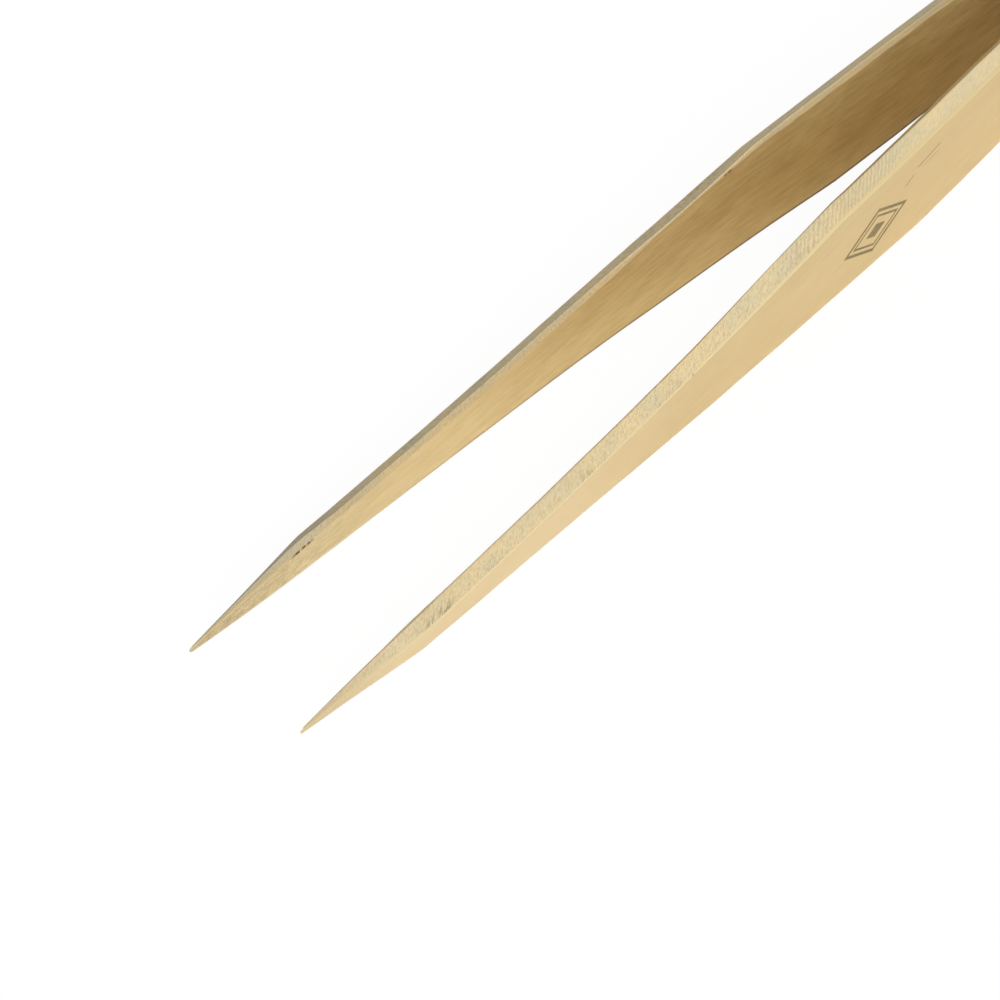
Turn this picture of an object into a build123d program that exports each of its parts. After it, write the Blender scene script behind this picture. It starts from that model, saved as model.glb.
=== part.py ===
from build123d import *
import os

# Pointed stamp tongs: two springy brass arms, brazed together at the heel.
# x, y and z below are measured from the points: x runs from the points to the heel,
# y from the plane between the arms out to the right arm, and z up across the width.
# The exported frame is centred on the tongs' box, with z = 0 on the lowest edge.

# Length and sheet: full in the hand, ground thinner in front of it, and thinnest at the very point
LENGTH = 120.0
SHEET = 1.08
SHANK_SHEET = 0.99
THINNING = (40.0, 56.0)
POINT_LENGTH = 10.0
POINT_SHEET = 0.12
POINT_WIDTH = 0.24

# How each arm bends away from the other, seen from above
FILM = 0.10
JOINT_START = 104.0
BEND_LENGTH = 20.0
MIDDLE_BEND_END = 51.0
HEEL_SPREAD = 0.058
POINT_SPREAD = 0.0225

# Half widths of an arm, at its widest line
SHANK_WIDTH = 1.50
HEEL_WIDTH = 3.0
HEEL_RADIUS = 3.1

# Each edge's shoulder: place, half width there, slope behind the point, end of the wide part
UPPER_EDGE = (47.0, 4.85, 0.030, 62.0)
LOWER_EDGE = (55.0, 5.20, 0.055, 60.0)

# The bevel on the upper inner corner: its width, and its depth and the lower bevel as shares of that
INNER_BEVEL = 0.36
BEVEL_DEPTH = 0.7
LOWER_BEVEL = 0.35
DEEPEST_BEVEL = 0.4

# How much narrower than the widest line the outer face is, and the lower side's share of that
SHANK_SLOPE = 0.75
HAND_SLOPE = 0.98
SLOPE_CHANGE = (36.0, 50.0)
LOWER_SLOPE = 0.88

# How the point fills out: powers for its width and side slope, and what the very point has of the rest
WIDTH_POWER = 1.35
SLOPE_POWER = 2.0
POINT_SLOPE = 0.2
POINT_BEVEL = 0.3

# The flexing line, where each arm is divided into a fixed and a moving length
FLEX_LINE = 90.0
FLEX_GAP = 0.10

# The broad faces' places in a section: the outer face follows corner 2, the inner face corner 5
BROAD_FACES = (2, 5)

# How far a straight stretch between two sections may leave the true curve
CURVE_TOLERANCE = 0.01

# Places where an outline, a bend or a bevel changes
FEATURES = (
    POINT_LENGTH,
    MIDDLE_BEND_END - BEND_LENGTH,
    SLOPE_CHANGE[0],
    THINNING[0],
    UPPER_EDGE[0],
    SLOPE_CHANGE[1],
    MIDDLE_BEND_END,
    LOWER_EDGE[0],
    THINNING[1],
    LOWER_EDGE[3],
    UPPER_EDGE[3],
    JOINT_START - BEND_LENGTH,
    JOINT_START,
)


def bend(distance):
    """The sideways travel, for a final slope of 1, of an arc of BEND_LENGTH and the line after it."""
    if distance <= 0:
        return 0.0
    if distance < BEND_LENGTH:
        return distance**2 / (2 * BEND_LENGTH)
    return distance - BEND_LENGTH / 2


def half_gap(x):
    """Distance of an arm's inner face from the plane between the arms."""
    heel_bend = HEEL_SPREAD * bend(JOINT_START - x)
    middle_bend = (HEEL_SPREAD - POINT_SPREAD) * bend(MIDDLE_BEND_END - x)
    return FILM / 2 + heel_bend - middle_bend


def towards_point(x, power):
    """0 at the very point and 1 where the fine point begins, filling out early."""
    return 1 - max(0.0, 1 - x / POINT_LENGTH) ** power


def half_width(x, edge):
    """Half width of an arm at its widest line, on the upper or the lower edge."""
    shoulder, widest, slope, wide_end = edge
    if x < POINT_LENGTH:
        return POINT_WIDTH + (SHANK_WIDTH - POINT_WIDTH) * towards_point(x, WIDTH_POWER)
    if x < shoulder:
        run = shoulder - POINT_LENGTH
        rise = widest - SHANK_WIDTH - slope * run
        return SHANK_WIDTH + slope * (x - POINT_LENGTH) + rise * ((x - POINT_LENGTH) / run) ** 2
    if x < wide_end:
        return widest
    return widest + (HEEL_WIDTH - widest) * (x - wide_end) / (LENGTH - wide_end)


def share_of(x, stretch):
    """0 before this stretch, 1 after it, and evenly more in it."""
    start, end = stretch
    return min(1.0, max(0.0, (x - start) / (end - start)))


def thickness(x):
    """Thickness of an arm."""
    sheet = SHANK_SHEET + (SHEET - SHANK_SHEET) * share_of(x, THINNING)
    return POINT_SHEET + (sheet - POINT_SHEET) * share_of(x, (0, POINT_LENGTH))


def side_slope(x):
    """How much narrower the outer face is than the widest line, on the upper side."""
    slope = SHANK_SLOPE + (HAND_SLOPE - SHANK_SLOPE) * share_of(x, SLOPE_CHANGE)
    return slope * (POINT_SLOPE + (1 - POINT_SLOPE) * towards_point(x, SLOPE_POWER))


def corners(x):
    """The six corners, as (y, z), of an arm's section at x."""
    inner = half_gap(x)
    outer = inner + thickness(x)
    upper = half_width(x, UPPER_EDGE)
    lower = half_width(x, LOWER_EDGE)
    slope = side_slope(x)
    bevel = INNER_BEVEL * min(1.0, POINT_BEVEL + x / POINT_LENGTH)
    middle = inner + min(BEVEL_DEPTH * bevel, DEEPEST_BEVEL * thickness(x))
    return [
        (inner, upper - bevel),
        (middle, upper),
        (outer, upper - slope),
        (outer, LOWER_SLOPE * slope - lower),
        (middle, -lower),
        (inner, LOWER_BEVEL * bevel - lower),
    ]


def divide(low, high):
    """Places after low, up to high, close enough for straight lines between them to follow the arm."""
    middle = (low + high) / 2
    ends = zip(corners(low), corners(middle), corners(high))
    error = max(abs((a[i] + b[i]) / 2 - m[i]) for a, m, b in ends for i in (0, 1))
    if error < CURVE_TOLERANCE:
        return [high]
    return divide(low, middle) + divide(middle, high)


def stations(start, end):
    """Places from start to end: every feature between them, with the curved stretches divided."""
    marks = [start] + [x for x in FEATURES if start < x < end] + [end]
    places = [start]
    for low, high in zip(marks, marks[1:]):
        places += divide(low, high)
    return places


def flat(points):
    """A flat face with these corners."""
    return Face(Wire.make_polygon(points, close=True))


def arm_length(start, end):
    """The stretch of the right arm from start to end, closed by flat faces."""
    rings = [[Vector(x, y, z) for y, z in corners(x)] for x in stations(start, end)]
    faces = [flat(rings[0]), flat(rings[-1])]
    for near, far in zip(rings, rings[1:]):
        for i in range(len(near)):
            j = (i + 1) % len(near)
            if i in BROAD_FACES:
                faces.append(flat([near[i], far[i], far[j], near[j]]))
            else:
                faces.append(flat([near[i], far[i], far[j]]))
                faces.append(flat([near[i], far[j], near[j]]))
    return Solid(Shell(faces))


def heel_outline(start, inset):
    """A block with the rounded end of the heel, for trimming what is in it."""
    radius = HEEL_RADIUS - inset
    centre = LENGTH - HEEL_RADIUS
    width = 2 * LOWER_EDGE[1]
    block = Pos((start + centre) / 2, 0, 0) * Box(centre - start, width, width)
    end = Pos(centre, 0, 0) * Rot(X=90) * Cylinder(radius, width)
    return block + end


def arm_heel():
    """The fixed length of the right arm, from the flexing line to the rounded heel."""
    start = FLEX_LINE + FLEX_GAP / 2
    return arm_length(start, LENGTH) & heel_outline(start, 0)


def arm_blade():
    """The moving length of the right arm, from its point to the flexing line."""
    return arm_length(0, FLEX_LINE - FLEX_GAP / 2)


def heel_braze():
    """The film of filler metal that joins the two arms' flat inner faces."""
    def height(x):
        return half_width(x, UPPER_EDGE) - INNER_BEVEL

    corners = [
        (JOINT_START, height(JOINT_START)),
        (LENGTH, height(LENGTH)),
        (LENGTH, -height(LENGTH)),
        (JOINT_START, -height(JOINT_START)),
    ]
    sheet = Face(Wire.make_polygon([Vector(x, -FILM / 2, z) for x, z in corners], close=True))
    film = extrude(sheet, amount=FILM, dir=(0, 1, 0))
    return film & heel_outline(JOINT_START - 1, INNER_BEVEL)


def main():
    os.makedirs("parts", exist_ok=True)
    place = Pos(-LENGTH / 2, 0, LOWER_EDGE[1])
    blade = arm_blade()
    heel = arm_heel()
    export_step(place * blade, "parts/right_arm_blade.step")
    export_step(place * mirror(blade, Plane.XZ), "parts/left_arm_blade.step")
    export_step(place * heel, "parts/right_arm_heel.step")
    export_step(place * mirror(heel, Plane.XZ), "parts/left_arm_heel.step")
    export_step(place * heel_braze(), "parts/heel_braze.step")


main()
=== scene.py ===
import math
from collections import namedtuple

import bmesh
import bpy
from mathutils import Matrix, Vector


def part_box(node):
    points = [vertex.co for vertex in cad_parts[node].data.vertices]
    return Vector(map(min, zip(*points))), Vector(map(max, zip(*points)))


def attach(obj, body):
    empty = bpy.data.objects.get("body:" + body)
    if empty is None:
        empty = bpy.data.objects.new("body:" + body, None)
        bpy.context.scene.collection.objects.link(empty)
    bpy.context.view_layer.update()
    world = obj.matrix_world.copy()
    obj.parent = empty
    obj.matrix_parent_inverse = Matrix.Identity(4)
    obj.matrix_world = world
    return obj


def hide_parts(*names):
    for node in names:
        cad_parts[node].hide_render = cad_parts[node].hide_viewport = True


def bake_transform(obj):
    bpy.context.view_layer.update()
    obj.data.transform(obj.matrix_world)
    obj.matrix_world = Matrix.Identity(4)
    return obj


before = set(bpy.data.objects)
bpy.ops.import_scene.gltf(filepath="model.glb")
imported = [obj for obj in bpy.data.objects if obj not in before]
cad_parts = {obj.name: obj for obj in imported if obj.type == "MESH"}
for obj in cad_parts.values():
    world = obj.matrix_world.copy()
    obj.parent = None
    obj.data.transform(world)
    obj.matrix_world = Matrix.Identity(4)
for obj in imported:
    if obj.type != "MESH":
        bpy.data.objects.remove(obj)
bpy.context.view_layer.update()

# Pointed brass stamp tongs. The shape below is in millimetres, measured from the points:
# x runs to the heel, y from the plane between the arms outwards, and z up from the points' level.
MM = 0.001
TIPS_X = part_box("right_arm_blade")[0][0] / MM
HEEL_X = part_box("right_arm_heel")[1][0] / MM
LENGTH = HEEL_X - TIPS_X

# Sheet, point and heel. THINNING is where the sheet gets thinner towards the shank, and POINT_END
# is the share of the point's section that its very end has.
SHEET = 1.08
SHANK_SHEET = 0.99
THINNING = (40.0, 56.0)
POINT_LENGTH = 10.0
POINT_SHEET = 0.12
POINT_WIDTH = 0.24
POINT_ROUND = 0.25
POINT_END = 0.35
SHANK_WIDTH = 1.50
HEEL_WIDTH = 3.0
HEEL_RADIUS = 3.1
HEEL_CENTRE = LENGTH - HEEL_RADIUS

# Each edge's shoulder: place, half width there, slope behind the point, end of the wide part
UPPER_EDGE = (47.0, 4.85, 0.030, 62.0)
LOWER_EDGE = (55.0, 5.20, 0.055, 60.0)
LEVEL = LOWER_EDGE[1]

# How each arm bends away from the other
FILM = 0.10
JOINT_START = 104.0
BEND_LENGTH = 20.0
MIDDLE_BEND_END = 51.0
HEEL_SPREAD = 0.058
POINT_SPREAD = 0.0225

# The bevel on an inner corner: the upper one's width and how much it wavers, the lower one's share of
# it, its greatest depth as a share of the thickness, where it nearly runs out, as (place, reach, loss),
# where its depth changes from the point's to the front one, and from the front one to the rear one
INNER_BEVEL = 0.36
BEVEL_WAVER = 0.07
LOWER_BEVEL = 0.35
DEEPEST_BEVEL = 0.4
BEVEL_FADE = (41.5, 5.5, 0.7)
POINT_BEVEL_END = (8.5, 12.5)
DEEPENING = (44.0, 58.0)

# How much narrower than the widest line the outer face is, and the lower side's share of that
SHANK_SLOPE = 0.75
HAND_SLOPE = 0.98
SLOPE_CHANGE = (36.0, 50.0)
SLOPE_WAVER = 0.02
LOWER_SLOPE = 0.88

# How the point fills out: powers for its width and side slope, and what the very point has of the rest
WIDTH_POWER = 1.35
SLOPE_POWER = 2.0
POINT_SLOPE = 0.2
POINT_BEVEL = 0.3

# Rounding of the corners: crisp along the shank, soft at the point and where the fingers press. Each
# corner has its own share of it, the outer one only where it is soft, and none takes more of the flats
# beside it than MOST_OF_FLAT.
CRISP_ROUND = 0.05
SOFT_ROUND = 0.16
SOFTENING = (30.0, 54.0)
POINT_SOFTENING = (4.0, 15.0)
INNER_UPPER_SHARE = 0.7
INNER_LOWER_SHARE = 1.6
WIDEST_SHARE = 0.55
OUTER_SHARE = 1.3
MOST_OF_FLAT = 0.36
ROUND_STEPS = 3

# Where the flats' supporting points are: their distance in roundings, and the width of the strip along
# the lower inner edge that gets a painted shadow
SUPPORT = 1.35
SHADOW_STRIP = 0.17

# Places of the rings along an arm: at the very point, then evenly, and how many round the heel
POINT_RINGS = (0.0, 0.03, 0.07, 0.15, 0.3, 0.5, 0.75, 1.0)
RING_STEP = 0.5
HEEL_RINGS = 24

# What was ground by hand differs from arm to arm:
# - side of the middle plane, and place in the waviness
# - the bevel's depth as a share of its width, in front of the shoulder and behind it, and the depth at
#   the point as a share of the thickness there
# - how far off in the grain of the metal the arm is cut
# - how grey its point is, and how brown its rear bevel
# - where along it the strokes, nicks and stripes are, as (place, reach, strength)
ARM_FIELDS = "name side phase front_depth rear_depth point_depth grain grey brown strokes nicks stripes"
Arm = namedtuple("Arm", ARM_FIELDS)
RIGHT_STROKES = ((6.0, 4.0, 0.5), (44.0, 3.0, 0.8))
RIGHT_NICKS = ((9.3, 1.0, 0.9), (44.7, 0.4, 0.6))
RIGHT = Arm("right", 1, 0.3, 0.70, 0.70, 0.45, 0.0, 0.75, 0.43, RIGHT_STROKES, RIGHT_NICKS, ())
LEFT_STROKES = ((11.3, 1.6, 1.0), (24.5, 2.0, 0.6), (31.5, 1.6, 0.4), (43.0, 2.0, 0.7))
LEFT_NICKS = ((33.5, 0.12, 0.5),)
LEFT_STRIPES = ((47.5, 7.0, 0.26),)
LEFT = Arm("left", -1, 1.9, 0.60, 0.9, 0.30, 40.0, 0.1, 0.0, LEFT_STROKES, LEFT_NICKS, LEFT_STRIPES)


# ---- Shape ----


def place(x, y, z):
    """A point of the shape in the row frame, in metres."""
    return Vector(((x + TIPS_X) * MM, y * MM, (z + LEVEL) * MM))


def bend(distance):
    """The sideways travel, for a final slope of 1, of an arc of BEND_LENGTH and the line after it."""
    if distance <= 0:
        return 0.0
    if distance < BEND_LENGTH:
        return distance**2 / (2 * BEND_LENGTH)
    return distance - BEND_LENGTH / 2


def half_gap(x):
    """Distance of an arm's inner face from the plane between the arms."""
    heel_bend = HEEL_SPREAD * bend(JOINT_START - x)
    middle_bend = (HEEL_SPREAD - POINT_SPREAD) * bend(MIDDLE_BEND_END - x)
    return FILM / 2 + heel_bend - middle_bend


def towards_point(x, power):
    """0 at the very point and 1 where the fine point begins, filling out early."""
    return 1 - max(0.0, 1 - x / POINT_LENGTH) ** power


def share_of(x, stretch):
    """0 before this stretch, 1 after it, and evenly more in it."""
    start, end = stretch
    return min(1.0, max(0.0, (x - start) / (end - start)))


def half_width(x, edge):
    """Half width of an arm at its widest line, on the upper or the lower edge."""
    shoulder, widest, slope, wide_end = edge
    if x < POINT_LENGTH:
        return POINT_WIDTH + (SHANK_WIDTH - POINT_WIDTH) * towards_point(x, WIDTH_POWER)
    if x < shoulder:
        run = shoulder - POINT_LENGTH
        rise = widest - SHANK_WIDTH - slope * run
        return SHANK_WIDTH + slope * (x - POINT_LENGTH) + rise * ((x - POINT_LENGTH) / run) ** 2
    if x < wide_end:
        return widest
    return widest + (HEEL_WIDTH - widest) * (x - wide_end) / (LENGTH - wide_end)


def thickness(x):
    """Thickness of an arm."""
    sheet = SHANK_SHEET + (SHEET - SHANK_SHEET) * share_of(x, THINNING)
    return POINT_SHEET + (sheet - POINT_SHEET) * share_of(x, (0, POINT_LENGTH))


def side_slope(x):
    """How much narrower the outer face is than the widest line, on the upper side."""
    slope = SHANK_SLOPE + (HAND_SLOPE - SHANK_SLOPE) * share_of(x, SLOPE_CHANGE)
    return slope * (POINT_SLOPE + (1 - POINT_SLOPE) * towards_point(x, SLOPE_POWER))


def hand_ground(x, phase):
    """The small waviness of a line ground by hand, between about -1 and 1."""
    slow, quick, fine = math.sin(0.9 * x + phase), math.sin(2.3 * x + 2 * phase), math.sin(5.1 * x)
    return (slow + 0.6 * quick + 0.4 * fine) / 2


def inner_bevel(x, phase):
    """Width of the bevel on an upper inner corner; it nearly runs out in front of the shoulder."""
    middle, reach, loss = BEVEL_FADE
    faded = 1 - loss * math.exp(-(((x - middle) / reach) ** 2))
    width = INNER_BEVEL * faded * (1 + BEVEL_WAVER * hand_ground(x, phase))
    return width * min(1.0, POINT_BEVEL + x / POINT_LENGTH)


def bevel_depth(x, bevel, arm):
    """How far towards the outer face a bevel of this width goes."""
    share = arm.front_depth + (arm.rear_depth - arm.front_depth) * share_of(x, DEEPENING)
    full = min(share * bevel, DEEPEST_BEVEL * thickness(x))
    at_point = arm.point_depth * thickness(x)
    return at_point + (full - at_point) * share_of(x, POINT_BEVEL_END)


def rounded(before, corner, after, radius, lead):
    """Points of a small arc at a corner, with one more point on the flat at each side of it.

    The point before the arc is this lead away from the corner."""

    def step(to, distance):
        return corner + (to - corner).normalized() * distance

    start, end = step(before, radius), step(after, radius)
    arc = []
    for i in range(ROUND_STEPS + 1):
        t = i / ROUND_STEPS
        arc.append((1 - t) ** 2 * start + 2 * t * (1 - t) * corner + t**2 * end)
    return [step(before, lead)] + arc + [step(after, SUPPORT * radius)]


def profile(x, upper, arm):
    """Half of an arm's section, as (inset from the widest line, y), from inner to outer face."""
    inner = half_gap(x)
    bevel = inner_bevel(x, arm.phase)
    depth = bevel_depth(x, bevel, arm)
    width = bevel if upper else LOWER_BEVEL * bevel
    slope = (1.0 if upper else LOWER_SLOPE) * side_slope(x)
    slope += SLOPE_WAVER * hand_ground(x, arm.phase + 2) * share_of(x, (0, POINT_LENGTH))
    outer = inner + thickness(x)
    corners = [Vector((width, inner)), Vector((0, inner + depth)), Vector((slope, outer))]
    ends = [corners[0] + Vector((1, 0)), corners[2] + Vector((1, 0))]
    line = [ends[0]] + corners + [ends[1]]
    handled = max(share_of(x, SOFTENING), 1 - share_of(x, POINT_SOFTENING))
    soft = CRISP_ROUND + (SOFT_ROUND - CRISP_ROUND) * handled
    inner_share = INNER_UPPER_SHARE if upper else INNER_LOWER_SHARE
    shares = (inner_share, WIDEST_SHARE, 1 + (OUTER_SHARE - 1) * handled)
    radii = [soft * share for share in shares]
    points = []
    for i, radius in zip((1, 2, 3), radii):
        flat = min((line[i] - line[i - 1]).length, (line[i + 1] - line[i]).length)
        radius = min(radius, MOST_OF_FLAT * flat)
        lead = SUPPORT * radius
        # The lower inner corner starts further in. This leaves a strip of the inner face for the
        # painted shadow along that edge.
        if i == 1 and not upper:
            lead = radius + SHADOW_STRIP * towards_point(x, 1)
        points += rounded(line[i - 1], line[i], line[i + 1], radius, lead)
    return points


def arm_point(travel, inset, y, edge, side):
    """A point of an arm's outline. Past the heel's centre, travel runs round the heel's end."""
    if travel <= HEEL_CENTRE:
        return travel, y, side * (half_width(travel, edge) - inset)
    angle = math.pi / 2 - (travel - HEEL_CENTRE) / HEEL_RADIUS
    radius = HEEL_RADIUS - inset
    return HEEL_CENTRE + radius * math.cos(angle), y, side * radius * math.sin(angle)


def travels():
    """Places along an arm for its rings: close at the point, then even, then round the heel."""
    places = list(POINT_RINGS)
    while places[-1] + 2 * RING_STEP < HEEL_CENTRE:
        places.append(places[-1] + RING_STEP)
    arc = HEEL_RADIUS * math.pi / 2
    return places + [HEEL_CENTRE + arc * i / HEEL_RINGS for i in range(HEEL_RINGS + 1)]


def ring(travel, arm):
    """All points of an arm's section there: the upper half, inner to outer, and the lower half back."""
    x = min(travel, LENGTH)
    upper, lower = profile(x, True, arm), profile(x, False, arm)
    if travel > HEEL_CENTRE:
        share = math.cos((travel - HEEL_CENTRE) / HEEL_RADIUS)
        middle = [(a + b) / 2 for a, b in zip(upper, lower)]
        upper = [m + (a - m) * share for a, m in zip(upper, middle)]
        lower = [m + (b - m) * share for b, m in zip(lower, middle)]
    points = [arm_point(travel, p.x, p.y, UPPER_EDGE, 1) for p in upper]
    points += [arm_point(travel, p.x, p.y, LOWER_EDGE, -1) for p in reversed(lower)]
    if travel < POINT_ROUND:
        middle = half_gap(travel) + POINT_SHEET / 2
        share = math.sqrt(1 - (1 - POINT_END**2) * (1 - travel / POINT_ROUND) ** 2)
        points = [(x, middle + (y - middle) * share, z * share) for x, y, z in points]
    return points


# The arms' material slots, in the order in which the materials are added
OUTER, INNER, GROUND, CORNER = range(4)

# The corners of half a section, in order: between inner face and bevel, on the widest line, outermost
INNER_CORNER, WIDEST_CORNER, OUTER_CORNER = range(3)


def material_at(index, half):
    """Which material slot the band after this point of a ring has."""
    points_per_corner = ROUND_STEPS + 3
    upper = index < half
    here = index if upper else 2 * half - 2 - index
    if here < 0:
        return INNER
    if here == half - 1:
        return OUTER
    corner, step = divmod(here, points_per_corner)
    if 1 <= step <= ROUND_STEPS:
        return GROUND if corner == WIDEST_CORNER else CORNER
    # The strip beside the lower inner corner takes the corner material, which paints a shadow on it
    if corner == INNER_CORNER and step == 0:
        return INNER if upper else CORNER
    if corner == OUTER_CORNER and step > ROUND_STEPS:
        return OUTER
    return GROUND


def make_mesh(name, points, faces, slots=None, grain=0.0):
    """A mesh object with these points, in shape millimetres.

    Its materials read each point's place in the metal: x, the depth below the inner face, and z,
    which is off by the arm's place in the grain."""
    mesh = bpy.data.meshes.new(name)
    mesh.from_pydata([place(*p) for p in points], [], faces)
    if slots:
        mesh.polygons.foreach_set("material_index", slots)
    mesh.polygons.foreach_set("use_smooth", [True] * len(mesh.polygons))
    rest = mesh.attributes.new("rest_mm", "FLOAT_VECTOR", "POINT")
    for value, (x, y, z) in zip(rest.data, points):
        value.vector = (x, abs(y) - half_gap(x), z + grain)
    mesh.validate()
    piece = bpy.data.objects.new(name, mesh)
    bpy.context.scene.collection.objects.link(piece)
    return piece


def make_arm(arm):
    """One whole arm, from point to heel, as one continuous skin."""
    rings = [ring(t, arm) for t in travels()]
    count = len(rings[0])
    points, faces, slots = [], [], []
    for r in rings:
        points += [(x, arm.side * y, z) for x, y, z in r]
    for k in range(len(rings) - 1):
        for i in range(count):
            j = (i + 1) % count
            a, b = k * count, (k + 1) * count
            faces.append((a + i, a + j, b + j, b + i))
            slots.append(material_at(i, count // 2))
    faces.append(tuple(reversed(range(count))))
    slots.append(CORNER)
    if arm.side > 0:
        faces = [tuple(reversed(f)) for f in faces]
    piece = make_mesh(arm.name + "_arm", points, faces, slots, grain=arm.grain)
    weld(piece)
    return piece


# Points closer together than this, in metres, are one point
WELD_DISTANCE = 1e-7


def weld(piece):
    """Joins points that lie on each other, such as the last ring's halves, and turns faces outwards."""
    mesh = bmesh.new()
    mesh.from_mesh(piece.data)
    bmesh.ops.remove_doubles(mesh, verts=mesh.verts, dist=WELD_DISTANCE)
    bmesh.ops.recalc_face_normals(mesh, faces=mesh.faces)
    mesh.to_mesh(piece.data)
    mesh.free()


# ---- Materials ----


def linear(red, green, blue):
    """A colour given in everyday 0 to 255 values, as the shader wants it."""

    def one(v):
        v /= 255
        return v / 12.92 if v <= 0.04045 else ((v + 0.055) / 1.055) ** 2.4

    return (one(red), one(green), one(blue), 1.0)


def feed(tree, value, socket):
    """Gives a socket another node's output or a plain value."""
    if isinstance(value, bpy.types.NodeSocket):
        tree.links.new(value, socket)
    else:
        socket.default_value = value


def map_range(tree, value, limits):
    """A value mapped from one range to another; the limits are from low and high, to low and high."""
    node = tree.nodes.new("ShaderNodeMapRange")
    feed(tree, value, node.inputs["Value"])
    for name, number in zip(("From Min", "From Max", "To Min", "To Max"), limits):
        node.inputs[name].default_value = number
    return node.outputs[0]


# How long a stroke's ends take to fade, in millimetres
STROKE_END = 0.25


class Nodes:
    """A material's node tree, with short calls for the nodes used here."""

    def __init__(self, name):
        self.material = bpy.data.materials.new(name)
        self.material.use_nodes = True
        self.tree = self.material.node_tree
        self.shader = self.tree.nodes["Principled BSDF"]
        attribute = self.tree.nodes.new("ShaderNodeAttribute")
        attribute.attribute_name = "rest_mm"
        self.rest = attribute.outputs["Vector"]

    def link(self, value, socket):
        feed(self.tree, value, socket)

    def scaled(self, x, y, z, turn=0.0):
        """The rest place, turned about y by this many degrees and scaled along each axis."""
        turned = self.rest
        if turn:
            node = self.tree.nodes.new("ShaderNodeVectorRotate")
            node.rotation_type = "Y_AXIS"
            self.link(self.rest, node.inputs["Vector"])
            node.inputs["Angle"].default_value = math.radians(turn)
            turned = node.outputs[0]
        node = self.tree.nodes.new("ShaderNodeVectorMath")
        node.operation = "MULTIPLY"
        self.link(turned, node.inputs[0])
        node.inputs[1].default_value = (x, y, z)
        return node.outputs[0]

    def axis(self, name):
        """One coordinate of the rest place."""
        node = self.tree.nodes.new("ShaderNodeSeparateXYZ")
        self.link(self.rest, node.inputs[0])
        return node.outputs[name]

    def along(self):
        """Distance from the points, in millimetres."""
        return self.axis("X")

    def depth(self):
        """Distance below the inner face, in millimetres."""
        return self.axis("Y")

    def above(self, grain):
        """Height above the middle of an arm, in millimetres, with its offset in the grain taken off."""
        return self.math("SUBTRACT", self.axis("Z"), grain)

    def noise(self, vector, detail=3.0, roughness=0.6):
        """Noise between 0 and 1, mostly near a half."""
        node = self.tree.nodes.new("ShaderNodeTexNoise")
        self.link(vector, node.inputs["Vector"])
        node.inputs["Scale"].default_value = 1.0
        node.inputs["Detail"].default_value = detail
        node.inputs["Roughness"].default_value = roughness
        return node.outputs["Fac"]

    def span(self, value, low, high, to_low=0.0, to_high=1.0):
        """A value's way from low to high, as a number from to_low to to_high and no further."""
        return map_range(self.tree, value, (low, high, to_low, to_high))

    def math(self, operation, first, second):
        """Arithmetic on two values."""
        node = self.tree.nodes.new("ShaderNodeMath")
        node.operation = operation
        self.link(first, node.inputs[0])
        self.link(second, node.inputs[1])
        return node.outputs[0]

    def near(self, places):
        """The strength of these (place, reach, strength) stretches of an arm, fading to 0 outside."""
        x = self.along()
        total = 0.0
        for place_x, reach, strength in places:
            distance = self.math("ABSOLUTE", self.math("SUBTRACT", x, place_x), 0.0)
            total = self.math("MAXIMUM", self.span(distance, 0.5 * reach, reach, strength, 0.0), total)
        return total

    def stroke(self, start, end, half):
        """1 on a straight line between two (x, z) places, this wide to each side, and 0 off it."""
        (x0, z0), (x1, z1) = start, end
        length = math.hypot(x1 - x0, z1 - z0)
        ux, uz = (x1 - x0) / length, (z1 - z0) / length
        masks = []
        for (a, b), reach, edge in (((ux, uz), length / 2, STROKE_END), ((-uz, ux), half, half)):
            dot = self.tree.nodes.new("ShaderNodeVectorMath")
            dot.operation = "DOT_PRODUCT"
            self.link(self.rest, dot.inputs[0])
            dot.inputs[1].default_value = (a, 0, b)
            middle = a * (x0 + x1) / 2 + b * (z0 + z1) / 2
            off = self.math("ABSOLUTE", self.math("SUBTRACT", dot.outputs["Value"], middle), 0.0)
            masks.append(self.span(off, reach - edge, reach, 1.0, 0.0))
        return self.math("MULTIPLY", *masks)

    def tint(self, colour, factors):
        """A colour times these factors for red, green and blue."""
        node = self.tree.nodes.new("ShaderNodeMix")
        node.data_type = "RGBA"
        node.blend_type = "MULTIPLY"
        node.inputs["Factor"].default_value = 1.0
        self.link(colour, node.inputs["A"])
        node.inputs["B"].default_value = factors
        return node.outputs["Result"]

    def mix(self, share, first, second):
        """The first colour at a share of 0, the second at 1."""
        node = self.tree.nodes.new("ShaderNodeMix")
        node.data_type = "RGBA"
        self.link(share, node.inputs["Factor"])
        self.link(first, node.inputs["A"])
        self.link(second, node.inputs["B"])
        return node.outputs["Result"]

    def bump(self, height, depth_mm, strength):
        """A surface raised by this depth where the height is 1."""
        node = self.tree.nodes.new("ShaderNodeBump")
        self.link(height, node.inputs["Height"])
        node.inputs["Distance"].default_value = depth_mm * MM
        node.inputs["Strength"].default_value = strength
        return node.outputs[0]

    def finish(self, colour, roughness, normal, metallic=1.0):
        """Gives the shader its inputs and returns the material."""
        self.link(colour, self.shader.inputs["Base Color"])
        self.link(roughness, self.shader.inputs["Roughness"])
        self.link(normal, self.shader.inputs["Normal"])
        self.shader.inputs["Metallic"].default_value = metallic
        return self.material


# Brass in the hand and in the front half, and the worn corners at the point
GOLD_LIGHT = linear(218, 195, 144)
GOLD_DARK = linear(200, 174, 121)
POINT_LIGHT = linear(225, 204, 159)
POINT_DARK = linear(214, 190, 142)
POINT_WORN = linear(206, 188, 150)

# The inner faces' tone against the outer ones': everywhere, high up at the rear where a brighter
# reflection is painted, and towards the point
INNER_TINT = (1.13, 1.15, 1.13, 1.0)
PAINTED_SHEEN_TINT = (1.20, 1.30, 1.38, 1.0)
POINT_TINT = (0.91, 0.93, 0.97, 1.0)
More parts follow.
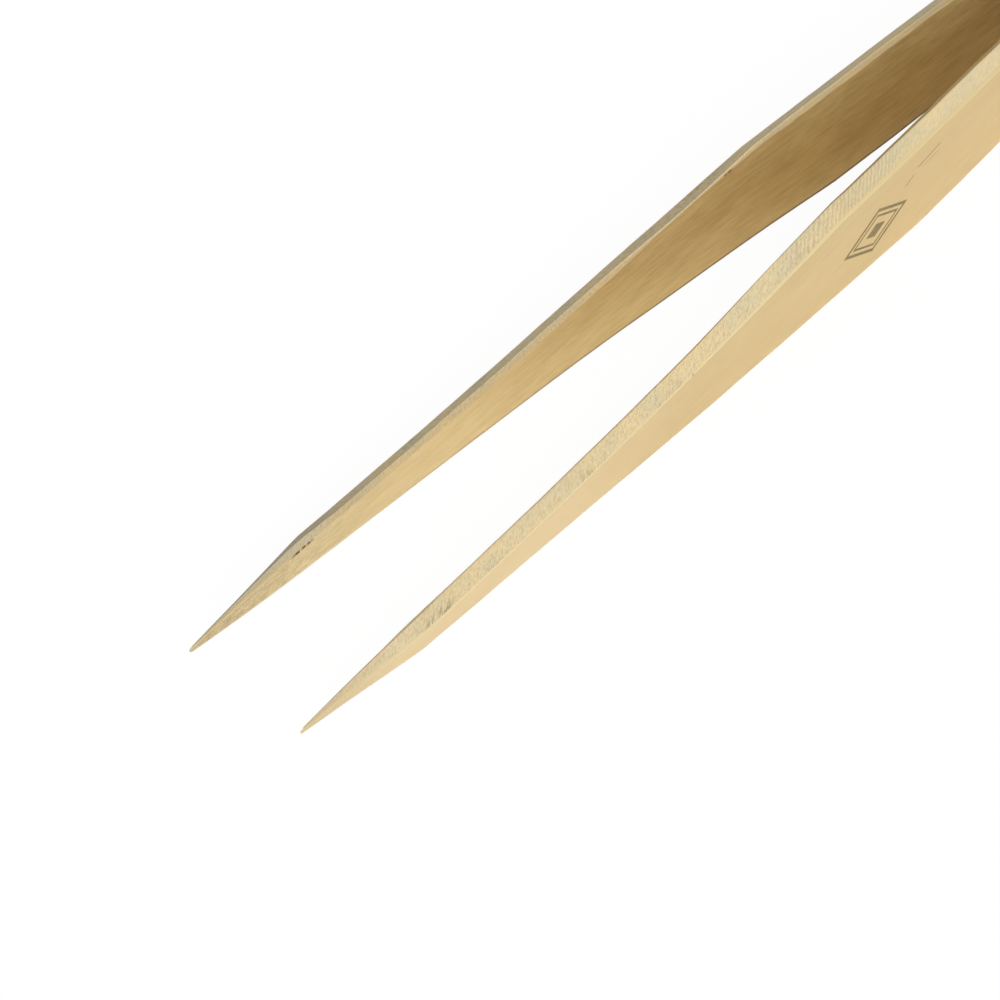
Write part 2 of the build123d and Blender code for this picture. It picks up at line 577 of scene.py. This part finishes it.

# Ground brass, polished corners, scratches and nicks (their dark also paints the shadow along the lower
# inner edge), the etched mark's floor, and the filler
GROUND_OLIVE = linear(224, 210, 173)
GROUND_GOLD = linear(234, 213, 168)
GROUND_GREY = linear(196, 184, 156)
GROUND_DARK = linear(166, 148, 114)
CORNER_LIGHT = linear(236, 216, 170)
SCRATCH_AND_SHADOW = linear(104, 82, 50)
ETCHED_DARK = linear(112, 96, 64)
ETCHED_LIGHT = linear(158, 138, 96)
BRAZE_DARK = linear(196, 186, 158)
BRAZE_LIGHT = linear(222, 208, 172)

# Changes along the arms, as (from here, to here, share before, share after)
DULL_POINT = (1.0, 8.0, 0.4, 0.0)
WORN_POINT = (4.0, 15.0, 0.7, 0.0)
HONED_POINT = (8.0, 16.0, 1.0, 0.0)
PALE_FRONT = (22.0, 34.0, 0.0, 1.0)
POINT_TINT_FADE = (8.0, 24.0, 0.0, 1.0)
# Where the painted brighter reflection on the inner faces comes in
PAINTED_SHEEN_REAR = (36.0, 50.0, 0.0, 1.0)
SCRATCHED_REAR = (30.0, 60.0, 0.15, 0.8)
LINED_REAR = (30.0, 55.0, 0.4, 1.0)
FINER_REAR = (44.0, 56.0, 1.0, 0.5)
GOLDEN_REAR = (34.0, 54.0, 0.0, 0.75)
# Painted shadow along the lower inner edge, stronger towards the rear
SHADOW_STRIP_REAR = (10.0, 40.0, 0.0, 0.7)

# Where these begin along the arms and end; each arm has its own share
GREY_FADE = (9.0, 16.0)
BROWN_RISE = (46.0, 62.0)

# Stripes across a side: their phase per millimetre, and how far noise shifts it, in radians
STRIPE_PITCH = 18.0
STRIPE_DRIFT = 7.0

# How much of the strokes is left on stripes of no strength and of the most
CALM_WHERE_STRIPED = (0.0, 0.3, 1.0, 0.3)

# The longest scratch, in two runs behind the left arm's mark, as (x, z) with that arm's grain offset
LONG_SCRATCH = (
    ((53.2, LEFT.grain + 1.0), (54.2, LEFT.grain + 1.5)),
    ((54.3, LEFT.grain + 1.8), (56.6, LEFT.grain + 2.2)),
)
SCRATCH_HALF_WIDTH = 0.09
LONG_SCRATCH_SHARE = 0.85


def brass_tone(n, fine, contrast):
    """Brass colour, paler towards the point, streaked by this noise and in patches, and the streaks."""
    wide = n.noise(n.scaled(0.35, 1.0, 2.6), detail=3.0)
    patch = n.noise(n.scaled(0.16, 0.5, 0.35), detail=2.0)
    streaks = n.math("ADD", n.math("MULTIPLY", fine, 0.55), n.math("MULTIPLY", wide, 0.45))
    tone = n.math("ADD", n.math("MULTIPLY", streaks, 0.75), n.math("MULTIPLY", patch, 0.25))
    x = n.along()
    dark = n.mix(n.span(x, *PALE_FRONT), POINT_DARK, GOLD_DARK)
    light = n.mix(n.span(x, *PALE_FRONT), POINT_LIGHT, GOLD_LIGHT)
    colour = n.mix(n.span(tone, 0.5 - contrast, 0.5 + contrast), dark, light)
    return n.mix(n.span(x, *DULL_POINT), colour, GROUND_DARK), streaks


def outer_brass():
    """Satin brass, buffed lengthwise, with a few long scratches."""
    n = Nodes("outer_brass")
    fine = n.noise(n.scaled(0.45, 2.0, 15.0), detail=4.0, roughness=0.7)
    colour, streaks = brass_tone(n, fine, 0.17)
    scratch = n.span(n.noise(n.scaled(0.13, 3.0, 6.5, turn=4.0), detail=1.0), 0.74, 0.76)
    scratch = n.math("MULTIPLY", scratch, n.span(n.along(), *SCRATCHED_REAR))
    for start, end in LONG_SCRATCH:
        long_run = n.math("MULTIPLY", n.stroke(start, end, SCRATCH_HALF_WIDTH), LONG_SCRATCH_SHARE)
        scratch = n.math("MAXIMUM", scratch, long_run)
    colour = n.mix(scratch, colour, SCRATCH_AND_SHADOW)
    roughness = n.span(streaks, 0.35, 0.65, 0.34, 0.46)
    return n.finish(colour, roughness, n.bump(n.math("SUBTRACT", fine, scratch), 0.003, 0.8))


def inner_brass(arm):
    """The face between the arms: brushed lengthwise, honed at the point, with a painted brighter
    reflection high up at the rear.
    """
    n = Nodes(arm.name + "_inner_brass")
    fine = n.noise(n.scaled(0.7, 2.0, 10.0, turn=-2.0), detail=5.0, roughness=0.75)
    colour, streaks = brass_tone(n, fine, 0.08)
    line = n.span(n.noise(n.scaled(0.35, 2.0, 9.0, turn=1.0), detail=2.0), 0.56, 0.68, 0.0, 0.22)
    line = n.math("MULTIPLY", line, n.span(n.along(), *LINED_REAR))
    colour = n.mix(line, colour, SCRATCH_AND_SHADOW)
    # Painted reflection: the upper part of the inner face is lighter towards the rear
    painted_sheen = n.span(n.math("ADD", n.above(arm.grain), n.math("MULTIPLY", fine, 2.0)), 1.5, 4.5)
    painted_sheen = n.math("MULTIPLY", painted_sheen, n.span(n.along(), *PAINTED_SHEEN_REAR))
    colour = n.mix(painted_sheen, n.tint(colour, INNER_TINT), n.tint(colour, PAINTED_SHEEN_TINT))
    honed = n.span(n.noise(n.scaled(1.1, 1.5, 8.0, turn=6.0), detail=3.0), 0.45, 0.62, 0.0, 0.55)
    honed = n.math("MULTIPLY", honed, n.span(n.along(), *HONED_POINT))
    colour = n.mix(honed, colour, GROUND_DARK)
    colour = n.mix(n.span(n.along(), *POINT_TINT_FADE), n.tint(colour, POINT_TINT), colour)
    roughness = n.span(streaks, 0.35, 0.65, 0.52, 0.66)
    return n.finish(colour, roughness, n.bump(fine, 0.008, 0.9))


def ground_brass(arm):
    """Sides and bevels ground at a slant: paler, duller and coarser, and greyer at the point."""
    n = Nodes(arm.name + "_ground_brass")
    grain = n.noise(n.scaled(4.5, 1.0, 12.0, turn=32.0), detail=4.0, roughness=0.8)
    stroke = n.noise(n.scaled(2.1, 0.5, 12.0, turn=36.0), detail=3.0, roughness=0.7)
    cluster = n.noise(n.scaled(0.45, 0.4, 0.8), detail=2.0)
    colour = n.mix(n.span(cluster, 0.36, 0.64), GROUND_GOLD, GROUND_OLIVE)
    colour = n.mix(n.span(n.along(), *GREY_FADE, arm.grey, 0.0), colour, GROUND_GREY)
    grained = n.span(grain, 0.44, 0.72, 0.0, 0.6)
    grained = n.math("MULTIPLY", grained, n.span(n.along(), *FINER_REAR))
    colour = n.mix(grained, colour, GROUND_DARK)
    colour = n.mix(n.span(n.along(), *DULL_POINT), colour, GROUND_DARK)
    brown = n.span(n.along(), *BROWN_RISE, 0.0, arm.brown)
    brown = n.math("MULTIPLY", brown, n.span(n.depth(), 0.22, 0.3, 1.0, 0.0))
    colour = n.mix(brown, colour, GROUND_DARK)
    low = n.span(n.depth(), 0.5, 0.8, 0.1, 1.0)
    strong = n.math("MAXIMUM", n.near(arm.strokes), n.span(cluster, 0.54, 0.68, 0.0, 0.5))
    striped = n.near(arm.stripes)
    strong = n.math("MULTIPLY", strong, n.span(striped, *CALM_WHERE_STRIPED))
    dark = n.math("MULTIPLY", n.span(stroke, 0.48, 0.58), n.math("MULTIPLY", strong, low))
    colour = n.mix(n.math("MULTIPLY", dark, 0.85), colour, GROUND_DARK)
    across = n.math("SUBTRACT", n.along(), n.above(arm.grain))
    drift = n.math("MULTIPLY", n.noise(n.scaled(1.2, 0.3, 1.2), detail=2.0), STRIPE_DRIFT)
    wave = n.math("SINE", n.math("ADD", n.math("MULTIPLY", across, STRIPE_PITCH), drift), 0.0)
    colour = n.mix(n.math("MULTIPLY", n.span(wave, -0.6, 1.0), striped), colour, GROUND_DARK)
    roughness = n.span(grain, 0.3, 0.7, 0.40, 0.58)
    groove = n.bump(n.math("SUBTRACT", grain, dark), 0.005, 0.8)
    return n.finish(colour, roughness, groove)


def worn_corner_and_shadow(arm):
    """Corners: the outer ones polished by handling, the inner ones duller, and a painted shadow along
    the lower inner one.
    """
    n = Nodes(arm.name + "_worn_corner_and_shadow")
    wear = n.noise(n.scaled(0.7, 1.0, 1.0), detail=3.0)
    dots = n.span(n.noise(n.scaled(4.0, 2.0, 2.0), detail=2.0), 0.36, 0.48)
    nick = n.math("MULTIPLY", dots, n.near(arm.nicks))
    nick = n.math("MULTIPLY", nick, n.span(n.above(arm.grain), 0.0, 0.3))
    polished = n.span(n.depth(), 0.4, 0.8)
    bright = n.math("MULTIPLY", n.span(wear, 0.35, 0.65, 0.2, 1.0), polished)
    colour = n.mix(bright, GROUND_GOLD, CORNER_LIGHT)
    golden = n.math("MULTIPLY", polished, n.span(n.along(), *GOLDEN_REAR))
    colour = n.mix(golden, colour, GOLD_LIGHT)
    colour = n.mix(n.span(n.along(), *WORN_POINT), colour, POINT_WORN)
    # Painted shadow: the lower inner corner and the strip beside it are darkened, more towards the rear
    lower = n.span(n.above(arm.grain), -0.4, -0.2, 1.0, 0.0)
    lower = n.math("MULTIPLY", lower, n.span(n.depth(), 0.15, 0.3, 1.0, 0.0))
    painted_shadow = n.math("MULTIPLY", lower, n.span(n.along(), *SHADOW_STRIP_REAR))
    colour = n.mix(n.math("MAXIMUM", painted_shadow, nick), colour, SCRATCH_AND_SHADOW)
    unpolished = n.span(polished, 0.0, 1.0, 0.2, 0.0)
    roughness = n.math("ADD", n.span(wear, 0.35, 0.65, 0.28, 0.42), unpolished)
    return n.finish(colour, roughness, n.bump(nick, 0.01, 0.6))


def etched_brass():
    """The dull floor of a shallow etched line."""
    n = Nodes("etched_brass")
    grain = n.noise(n.scaled(9.0, 9.0, 9.0), detail=4.0)
    colour = n.mix(n.span(grain, 0.35, 0.65), ETCHED_DARK, ETCHED_LIGHT)
    return n.finish(colour, n.span(grain, 0.3, 0.7, 0.5, 0.7), n.bump(grain, 0.004, 0.6), metallic=0.8)


def braze_metal():
    """Filler metal as it set: paler than the brass, smooth and slightly rippled."""
    n = Nodes("braze_metal")
    ripple = n.noise(n.scaled(1.8, 4.0, 1.8), detail=3.0)
    colour = n.mix(n.span(ripple, 0.4, 0.6), BRAZE_DARK, BRAZE_LIGHT)
    return n.finish(colour, n.span(ripple, 0.3, 0.7, 0.25, 0.4), n.bump(ripple, 0.02, 0.6))


# ---- Pieces ----


# The filler: how far it runs out in front of the joint, its rings, how far it stays in from the
# arms' edges and how much that wavers, and how much narrower its front end is
FILLER_LEAD = 2.0
FILLER_RINGS = 90
FILLER_INSET = INNER_BEVEL + 0.05
FILLER_WAVER = 0.05
FILLER_PHASE = 0.4
FILLER_FRONT = 0.6


def make_filler():
    """The film of filler metal between the arms, a little thicker in front, where they part."""
    points, faces = [], []
    start, end = JOINT_START - FILLER_LEAD, HEEL_CENTRE + HEEL_RADIUS * math.pi / 2
    for i in range(FILLER_RINGS + 1):
        travel = start + (end - start) * i / FILLER_RINGS
        x = min(travel, LENGTH)
        inset = FILLER_INSET + FILLER_WAVER * hand_ground(travel, FILLER_PHASE)
        if i == 0:
            inset += FILLER_FRONT
        thick = half_gap(x)
        for side, edge in ((1, UPPER_EDGE), (-1, LOWER_EDGE)):
            for y in (-thick, thick):
                points.append(arm_point(travel, inset, y, edge, side))
    order = (0, 1, 3, 2)
    for i in range(FILLER_RINGS):
        a, b = 4 * i, 4 * i + 4
        for k in range(4):
            p, q = order[k], order[(k + 1) % 4]
            faces.append((a + p, a + q, b + q, b + p))
    faces.append(order)
    filler = make_mesh("heel_filler", points, faces)
    weld(filler)
    return filler


# The etched mark: its middle, size and line, how far it stands proud of and goes under the face, the
# points on each side, and its lozenges as (scale, line), where no line means a solid one
MARK_X = 50.8
MARK_Z = -0.5
MARK_LENGTH = 6.0
MARK_HEIGHT = 3.8
MARK_LINE = 0.27
MARK_PROUD = 0.004
MARK_SUNK = 0.02
MARK_STEPS = 8
LOZENGES = ((1.0, MARK_LINE), (0.72, MARK_LINE * 0.7), (0.3, 0.0))


def make_mark():
    """A plain etched lozenge on the left arm's outer face: two outlines and a solid middle."""
    points, faces = [], []
    corners = [(1, 0), (0, 1), (-1, 0), (0, -1)]
    path = []
    for (u0, v0), (u1, v1) in zip(corners, corners[1:] + corners[:1]):
        for step in range(MARK_STEPS):
            t = step / MARK_STEPS
            path.append((u0 + (u1 - u0) * t, v0 + (v1 - v0) * t))
    for scale, line in LOZENGES:
        base = len(points)
        shrink = line / (scale * MARK_HEIGHT / 2) if line else 1.0
        for factor in (scale, scale * (1 - shrink)):
            for u, v in path:
                x = MARK_X + u * factor * MARK_LENGTH / 2
                z = MARK_Z + v * factor * MARK_HEIGHT / 2
                face = half_gap(x) + thickness(x)
                points.append((x, -(face + MARK_PROUD), z))
                points.append((x, -(face - MARK_SUNK), z))
        count = len(path)
        for i in range(count):
            j = (i + 1) % count
            oi, oj = base + 2 * i, base + 2 * j
            ii, ij = oi + 2 * count, oj + 2 * count
            faces.append((oi, oj, ij, ii))
            faces.append((oj, oi, oi + 1, oj + 1))
            faces.append((ij, ij + 1, ii + 1, ii))
            faces.append((oi + 1, ii + 1, ij + 1, oj + 1))
    mark = make_mesh("etched_lozenge", points, faces)
    weld(mark)
    mark.data.polygons.foreach_set("use_smooth", [False] * len(mark.data.polygons))
    return mark


outer = outer_brass()
for arm in (RIGHT, LEFT):
    piece = make_arm(arm)
    for material in (outer, inner_brass(arm), ground_brass(arm), worn_corner_and_shadow(arm)):
        piece.data.materials.append(material)
    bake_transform(piece)
    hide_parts(arm.name + "_arm_heel", arm.name + "_arm_blade")

filler = make_filler()
filler.data.materials.append(braze_metal())
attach(filler, "heel")
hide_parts("heel_braze")

mark = make_mark()
mark.data.materials.append(etched_brass())
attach(mark, "left_blade")


# ---- Floor, light and camera ----

# In metres. SHADOW_LIFT is how much of the floor's shade the camera doesn't see.
FLOOR_HALF = 3.0
FLOOR_WHITE = 0.86
SHADOW_LIFT = 0.95
# A grey card that stands in for shade on the floor behind the tongs, seen only in the metal's
# reflections: near and far edge, half width, height and grey
CARD_NEAR = 0.007
CARD_FAR = 0.08
CARD_HALF = 0.15
CARD_HEIGHT = 0.0001
CARD_GREY = 0.34

# The surround's bright side, and (from there, to there, dimmest, brightest) along that direction
SURROUND_FRONT = (-0.35, -0.94, 0.0)
SURROUND_SHADE = (-0.7, 0.5, 0.25, 0.95)

# The lamps: place, and power in watts
LAMP_SIZE = 0.6
KEY = ((-0.80, -0.66, 1.08), 16.5)
RIM = ((-0.65, 0.95, 0.35), 5.0)

# The camera: its direction and roll in degrees, its distance and nearest and furthest view in metres,
# and in millimetres the width of the view, the place of its middle, right and up from the middle
# between the points, and the sensor's width
VIEW_AZIMUTH = -56.57
VIEW_ELEVATION = 51.25
VIEW_ROLL = 8.99
VIEW_DISTANCE = 2.0
VIEW_RANGE = (0.01, 20)
VIEW_WIDTH = 55.87
VIEW_CENTRE = (14.24, 10.70)
SENSOR = 36.0


def stage_plane(name, corner, opposite, height, material):
    """A flat rectangle of the stage between two corners, in metres."""
    (x0, y0), (x1, y1) = corner, opposite
    mesh = bpy.data.meshes.new(name)
    corners = [(x0, y0, height), (x1, y0, height), (x1, y1, height), (x0, y1, height)]
    mesh.from_pydata(corners, [], [(0, 1, 2, 3)])
    mesh.materials.append(material)
    plane = bpy.data.objects.new(name, mesh)
    bpy.context.scene.collection.objects.link(plane)
    return plane


def floor_material():
    """Plain white. The camera sees its shadows faintly, as on a well lit white table."""
    material = bpy.data.materials.new("floor_white")
    material.use_nodes = True
    tree = material.node_tree
    tree.nodes.remove(tree.nodes["Principled BSDF"])
    white = tree.nodes.new("ShaderNodeBsdfDiffuse")
    white.inputs["Color"].default_value = (FLOOR_WHITE, FLOOR_WHITE, FLOOR_WHITE, 1)
    glow = tree.nodes.new("ShaderNodeEmission")
    glow.inputs["Strength"].default_value = 1.0
    path = tree.nodes.new("ShaderNodeLightPath")
    share = tree.nodes.new("ShaderNodeMath")
    share.operation = "MULTIPLY"
    share.inputs[1].default_value = SHADOW_LIFT
    both = tree.nodes.new("ShaderNodeMixShader")
    tree.links.new(path.outputs["Is Camera Ray"], share.inputs[0])
    tree.links.new(share.outputs[0], both.inputs["Fac"])
    tree.links.new(white.outputs[0], both.inputs[1])
    tree.links.new(glow.outputs[0], both.inputs[2])
    tree.links.new(both.outputs[0], tree.nodes["Material Output"].inputs["Surface"])
    return material


def card_material():
    """Even, dull grey, for the shade that the card stands in for."""
    material = bpy.data.materials.new("card_grey")
    material.use_nodes = True
    shader = material.node_tree.nodes["Principled BSDF"]
    shader.inputs["Base Color"].default_value = (CARD_GREY, CARD_GREY, CARD_GREY, 1)
    shader.inputs["Roughness"].default_value = 1.0
    return material


def make_floor():
    """The floor, and a grey card behind the tongs that only their metal mirrors: it stands in for shade
    on the floor behind them.
    """
    stage_plane("floor", (-FLOOR_HALF, -FLOOR_HALF), (FLOOR_HALF, FLOOR_HALF), 0.0, floor_material())
    near, far = (-CARD_HALF, CARD_NEAR), (CARD_HALF, CARD_FAR)
    card = stage_plane("reflected_shade_card", near, far, CARD_HEIGHT, card_material())
    card.visible_camera = False
    card.visible_diffuse = False
    card.visible_shadow = False


def make_world():
    """A soft studio surround: bright in front of the tongs and dimmer behind them."""
    world = bpy.data.worlds.new("studio")
    bpy.context.scene.world = world
    world.use_nodes = True
    tree = world.node_tree
    background = tree.nodes["Background"]
    background.inputs["Color"].default_value = (1, 1, 1, 1)
    coordinates = tree.nodes.new("ShaderNodeTexCoord")
    dot = tree.nodes.new("ShaderNodeVectorMath")
    dot.operation = "DOT_PRODUCT"
    dot.inputs[1].default_value = SURROUND_FRONT
    tree.links.new(coordinates.outputs["Generated"], dot.inputs[0])
    strength = map_range(tree, dot.outputs["Value"], SURROUND_SHADE)
    tree.links.new(strength, background.inputs["Strength"])


def make_lamp(name, location, power):
    """A square soft lamp that faces the tongs."""
    light = bpy.data.lights.new(name, "AREA")
    light.shape = "SQUARE"
    light.size = LAMP_SIZE
    light.energy = power
    lamp = bpy.data.objects.new(name, light)
    bpy.context.scene.collection.objects.link(lamp)
    lamp.location = location
    lamp.rotation_mode = "QUATERNION"
    lamp.rotation_quaternion = (-Vector(location)).to_track_quat("-Z", "Y")


def make_camera():
    """The camera, far off with a long lens."""
    a, e, roll = (math.radians(v) for v in (VIEW_AZIMUTH, VIEW_ELEVATION, VIEW_ROLL))
    back = Vector((math.sin(a) * math.cos(e), -math.cos(a) * math.cos(e), math.sin(e)))
    level = Vector((math.cos(a), math.sin(a), 0))
    upright = back.cross(level)
    right = level * math.cos(roll) + upright * math.sin(roll)
    up = back.cross(right)
    data = bpy.data.cameras.new("camera")
    data.sensor_width = SENSOR
    data.lens = SENSOR * VIEW_DISTANCE / (VIEW_WIDTH * MM)
    data.clip_start, data.clip_end = VIEW_RANGE
    camera = bpy.data.objects.new("camera", data)
    bpy.context.scene.collection.objects.link(camera)
    aim = place(0, 0, 0) + (right * VIEW_CENTRE[0] + up * VIEW_CENTRE[1]) * MM
    turn = Matrix((right, up, back)).transposed().to_4x4()
    camera.matrix_world = Matrix.Translation(aim + back * VIEW_DISTANCE) @ turn
    bpy.context.scene.camera = camera


make_floor()
make_world()
make_lamp("key", *KEY)
make_lamp("rim", *RIM)
make_camera()
bpy.context.scene.view_settings.view_transform = "Standard"
